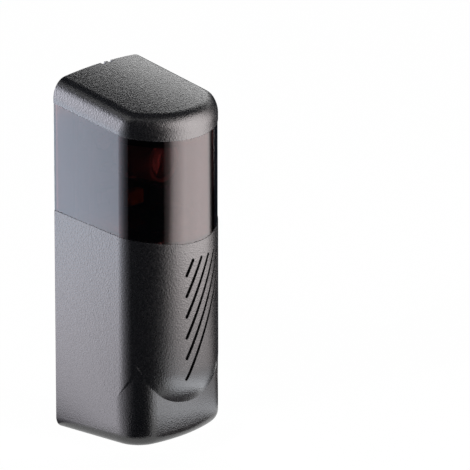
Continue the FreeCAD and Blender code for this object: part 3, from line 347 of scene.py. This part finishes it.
# Cards and soft boxes, which only light and reflections meet. The part's upright faces mirror the
# floor round it, so each of them is a sheet on the floor that turns up into a wall.
CARD_Z, BOX_Z, FOOT_Z = 0.001, 0.0008, 0.0006
CEILING_Z = 0.34
FOOT_Y, FOOT_REACH = -0.0163, 0.0268
BOX_NEAR, BOX_WALL, BOX_TOP = 0.0272, 0.45, 0.8
BOX_SIDES = 12


def card_paint(name, colour):
    made = bpy.data.materials.new(name)
    tree = Tree(made)
    tree.close(tree.add("ShaderNodeBsdfDiffuse", {"Color": (*colour, 1)}).outputs[0])
    return made


dark = card_paint("dark_card", (0.012, 0.016, 0.02))
grey = card_paint("painted_shade_grey", (0.22, 0.22, 0.225))


def bearing(degrees, distance, height):
    """A point round the object: 0 is in front of it and 90 on its right."""
    turn = math.radians(degrees)
    return Vector((distance * math.sin(turn), -distance * math.cos(turn), height))


def card(name, near_turns, far_turns, near, far, height):
    """A dark card between two bearings at a near distance and two at a far one, with its wall."""
    a, b = (bearing(turn, near, CARD_Z) for turn in near_turns)
    d, c = (bearing(turn, far, CARD_Z) for turn in far_turns)
    up = Vector((0, 0, height))
    sheet(name + "_floor", [a, b, c, d], dark, visible_camera=False)
    sheet(name + "_wall", [c, d, d + up, c + up], dark, visible_camera=False)


card("viewer_card", (-72, -36), (-72, -11), near=0.025, far=0.45, height=1.2)
card("right_card", (88, 132), (88, 132), near=0.06, far=0.12, height=0.12)
over = rectangle(-0.05, 0.55, -0.1, 0.45, CEILING_Z)
sheet("ceiling_over", over, dark, visible_camera=False)
front = rectangle(-0.45, -0.01, -0.45, -0.1, CEILING_Z)
sheet("ceiling_front", front, dark, visible_camera=False)
# Painted contact shade: a grey sheet on the floor round the front foot, seen only in reflections, so
# the bottom of the part's front mirrors a darker floor there.
foot = [(-0.0115, FOOT_Y, FOOT_Z), (0.0195, FOOT_Y, FOOT_Z)]
foot += [bearing(turn, FOOT_REACH, FOOT_Z) for turn in range(46, -29, -6)]
sheet("painted_foot_shade", foot, grey, visible_camera=False)


def softbox(name, apex, start, end, radiance, across, outward, upward, tint):
    """A light table with its wall, between two bearings from its apex.

    Its brightness is graded by bearing, by distance from the apex and by height, and its colour
    by distance.
    """
    span = end - start
    paint = bpy.data.materials.new(name)
    tree = Tree(paint)
    back = (-apex[0], -apex[1], 0)
    away = tree.add("ShaderNodeVectorMath", {0: tree.spot(), 1: back}, operation="ADD").outputs[0]
    parts = tree.add("ShaderNodeSeparateXYZ", {"Vector": away}).outputs
    turn = tree.math("ARCTAN2", parts["X"], tree.math("MULTIPLY", parts["Y"], -1.0))
    turn = tree.spread(turn, 0.0, 1.0, math.radians(start), math.radians(end))
    flat = tree.add("ShaderNodeCombineXYZ", {"X": parts["X"], "Y": parts["Y"]}).outputs[0]
    far = tree.add("ShaderNodeVectorMath", {0: flat}, operation="LENGTH").outputs["Value"]
    far = tree.spread(far, 0.0, 1.0, 0.0, BOX_WALL)
    high = tree.spread(parts["Z"], 0.0, 1.0, 0.0, BOX_TOP)
    grades = (
        (turn, across, start, span),
        (far, outward, 0, BOX_WALL),
        (high, upward, 0, BOX_TOP),
    )
    level = radiance
    for fac, stops, low, whole in grades:
        points = [((place - low) / whole, (share, share, share)) for place, share in stops]
        level = tree.math("MULTIPLY", tree.ramp(fac, *points), level)
    colour = tree.ramp(far, *((place / BOX_WALL, value) for place, value in tint))
    tree.close(tree.add("ShaderNodeEmission", {"Color": colour, "Strength": level}).outputs[0])

    turns = [start + span * n / BOX_SIDES for n in range(BOX_SIDES + 1)]
    shift = Vector((apex[0], apex[1], 0))
    rim = [bearing(t, BOX_WALL, BOX_Z) + shift for t in turns]
    inner = [bearing(t, BOX_NEAR, BOX_Z) for t in reversed(turns)]
    sheet(name + "_floor", rim + inner, paint, visible_camera=False)
    up = Vector((0, 0, BOX_TOP))
    for n, (a, b) in enumerate(zip(rim, rim[1:])):
        sheet(f"{name}_wall_{n}", [a, b, b + up, a + up], paint, visible_camera=False)


LILAC, BLUISH, COOL = (1.0, 0.965, 1.05), (0.83, 0.96, 1.15), (0.96, 0.96, 1.08)
softbox(
    "left_box",
    apex=(-0.019, -0.0105),
    start=-178,
    end=-62,
    radiance=5.75,
    across=[
        (-178, 0.05), (-168, 0.3), (-155, 0.8), (-143, 1.0), (-136, 1.0), (-131.5, 0.72),
        (-123.5, 0.42), (-112, 0.28), (-101.5, 0.18), (-90, 0.09), (-74, 0.03), (-64, 0.0),
    ],
    outward=[
        (0.03, 0.59), (0.1, 0.69), (0.165, 0.88), (0.2, 0.9), (0.235, 0.87), (0.32, 0.87),
        (0.42, 1.0),
    ],
    upward=[
        (0.0, 1.0), (0.1, 1.3), (0.2, 1.55), (0.36, 1.5), (0.46, 0.95), (0.55, 0.34), (0.62, 0.0),
    ],
    tint=[(0.18, LILAC), (0.23, BLUISH), (0.335, BLUISH), (0.36, COOL)],
)
softbox(
    "front_box",
    apex=(-0.027, 0.0),
    start=-12,
    end=92,
    radiance=5.5,
    across=[
        (-12, 0.02), (-4, 0.04), (1, 0.09), (9, 0.57), (26, 1.0), (50, 0.84), (70, 0.52),
        (74, 0.42), (79, 0.06), (84, 0.0),
    ],
    outward=[
        (0.036, 0.25), (0.043, 0.52), (0.053, 0.7), (0.066, 0.38), (0.085, 0.3), (0.105, 0.38),
        (0.15, 0.35), (0.17, 0.4), (0.19, 1.0),
    ],
    upward=[(0.0, 1.0), (0.15, 1.1), (0.4, 1.1), (0.53, 0.5), (0.66, 0.0)],
    tint=[(0.06, (0.97, 0.99, 1.04)), (0.1, (1.05, 0.975, 0.975))],
)


def lamp(name, place, aim, width, height, radiance):
    """A soft panel whose face has the given brightness, where 1 is white."""
    data = bpy.data.lights.new(name, "AREA")
    data.shape = "RECTANGLE"
    data.size, data.size_y = width, height
    data.energy = radiance * math.pi * width * height
    made = bpy.data.objects.new(name, data)
    made.location = place
    made.rotation_euler = (Vector(aim) - Vector(place)).to_track_quat("-Z", "Y").to_euler()
    made.visible_camera = False
    scene.collection.objects.link(made)


lamp("top_panel", (0.24, 0.158, 0.206), (0, 0, 0.1), width=0.16, height=0.09, radiance=2.05)

# Camera at the photograph's angle, aimed so that the part stands where it does there
TURN, RISE = math.radians(48.54), math.radians(17.69)
DISTANCE = 1.818
AIM_RIGHT, AIM_UP = 0.0257, 0.0031
LENS_MM, SENSOR_MM = 478.6, 36
middle = Vector((0, 0.001, 0.055))
level = math.cos(RISE)
towards = Vector((-math.sin(TURN) * level, -math.cos(TURN) * level, math.sin(RISE)))
right = Vector((math.cos(TURN), -math.sin(TURN), 0))
upward = towards.cross(right)
camera_data = bpy.data.cameras.new("camera")
camera_data.lens = LENS_MM
camera_data.sensor_width = SENSOR_MM
camera_data.clip_end = 50
camera = bpy.data.objects.new("camera", camera_data)
camera.location = middle + DISTANCE * towards
aim = middle + AIM_RIGHT * right + AIM_UP * upward
camera.rotation_euler = (aim - camera.location).to_track_quat("-Z", "Y").to_euler()
scene.collection.objects.link(camera)
scene.camera = camera
